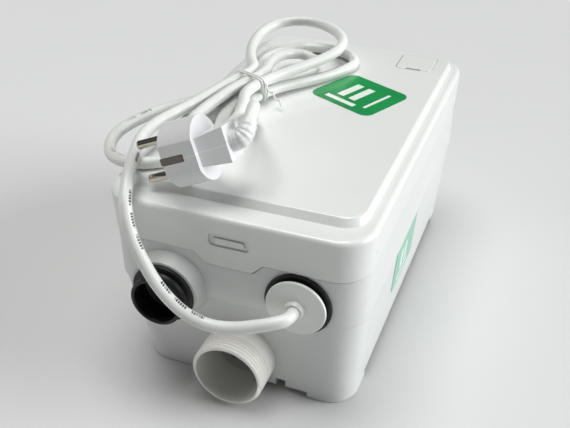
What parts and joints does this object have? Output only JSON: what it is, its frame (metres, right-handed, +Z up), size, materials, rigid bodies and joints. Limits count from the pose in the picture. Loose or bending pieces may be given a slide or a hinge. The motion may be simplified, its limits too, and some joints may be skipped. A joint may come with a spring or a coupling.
{
  "type": "sewage pump",
  "caption": "Small lifting pump in a lidded moulded tank with a threaded inlet, a discharge sleeve, a cable outlet, a float switch and a mains cord with its plug.",
  "frame": {"origin": "middle of the floor under the tank and its ports, without the cord", "axes": "+Z up, -Y out of the front with the ports, +X to the right seen from the front"},
  "size_m": [0.1736, 0.2763, 0.1677],
  "materials": {
    "tank_plastic": "smooth moulded grey-white",
    "lid_plastic": "smooth moulded off-white",
    "cream_plastic": "smooth moulded cream",
    "black_rubber": "matt black",
    "white_plastic": "smooth moulded white",
    "cord_white": "soft satin white",
    "plug_white": "fine satin white",
    "nickel": "polished nickel",
    "steel": "brushed",
    "motor_paint": "dark satin paint",
    "grey_plastic": "matt grey",
    "copper": "enamelled wire",
    "charcoal": "open foam",
    "orange_plastic": "matt"
  },
  "bodies": {
    "tank_body": {"tank": "tank_plastic", "lid_seal": "black_rubber", "inlet_spigot": "cream_plastic", "inlet_flap_pin": "steel", "discharge_sleeve": "black_rubber", "check_valve_body": "grey_plastic", "check_flap_pin": "steel", "discharge_hose": "black_rubber", "hose_clamps": "steel", "pump_volute": "grey_plastic", "intake_strainer": "grey_plastic", "rubber_mounts": "black_rubber", "mount_screws": "steel", "seal_housing": "motor_paint", "shaft_seal": "black_rubber", "lower_bearing": "steel", "upper_bearing": "steel", "motor_can": "steel", "motor_cap": "motor_paint", "cap_screws": "steel", "stator": "steel", "stator_windings": "copper", "capacitor": "grey_plastic", "capacitor_clip": "white_plastic", "control_box": "grey_plastic", "float_pin": "steel", "cable_grommet": "black_rubber", "gland_disc": "white_plastic", "gland_nut": "white_plastic", "inner_lead": "cord_white", "cord_lead": "cord_white"},
    "lid_body": {"lid": "lid_plastic", "charcoal_filter": "charcoal", "cord_lid_run": "cord_white", "cord_hank": "cord_white", "twist_tie": "cord_white", "plug_body": "plug_white", "plug_pins": "nickel", "earth_contacts": "nickel", "plug_boot": "plug_white"},
    "cover": {"filter_cover": "lid_plastic"},
    "rotor": {"motor_shaft": "steel", "rotor_core": "steel", "impeller": "white_plastic", "cutter_blade": "steel"},
    "check_valve_flap": {"check_flap": "black_rubber"},
    "inlet_valve_flap": {"inlet_flap": "black_rubber"},
    "float": {"float_arm": "white_plastic", "level_float": "orange_plastic"}
  },
  "joints": [
    {"name": "lid_lift", "type": "slide", "parent": "tank_body", "child": "lid_body", "axis": [0, 0, 1], "range_m": [0, 0.06]},
    {"name": "cover_lift", "type": "slide", "parent": "lid_body", "child": "cover", "axis": [0, 0, 1], "range_m": [0, 0.02]},
    {"name": "rotor_spin", "type": "hinge", "parent": "tank_body", "child": "rotor", "pos_m": [0.02, 0.05025, 0.06], "axis": [0, 0, 1], "continuous": true},
    {"name": "check_flap_swing", "type": "hinge", "parent": "tank_body", "child": "check_valve_flap", "pos_m": [-0.0355, -0.08135, 0.079], "axis": [-1, 0, 0], "range_deg": [0, 50]},
    {"name": "inlet_flap_swing", "type": "hinge", "parent": "tank_body", "child": "inlet_valve_flap", "pos_m": [0.004, -0.09735, 0.04605], "axis": [1, 0, 0], "range_deg": [0, 60]},
    {"name": "float_swing", "type": "hinge", "parent": "tank_body", "child": "float", "pos_m": [-0.043, 0.08525, 0.074], "axis": [-1, 0, 0], "range_deg": [0, 25]}
  ]
}
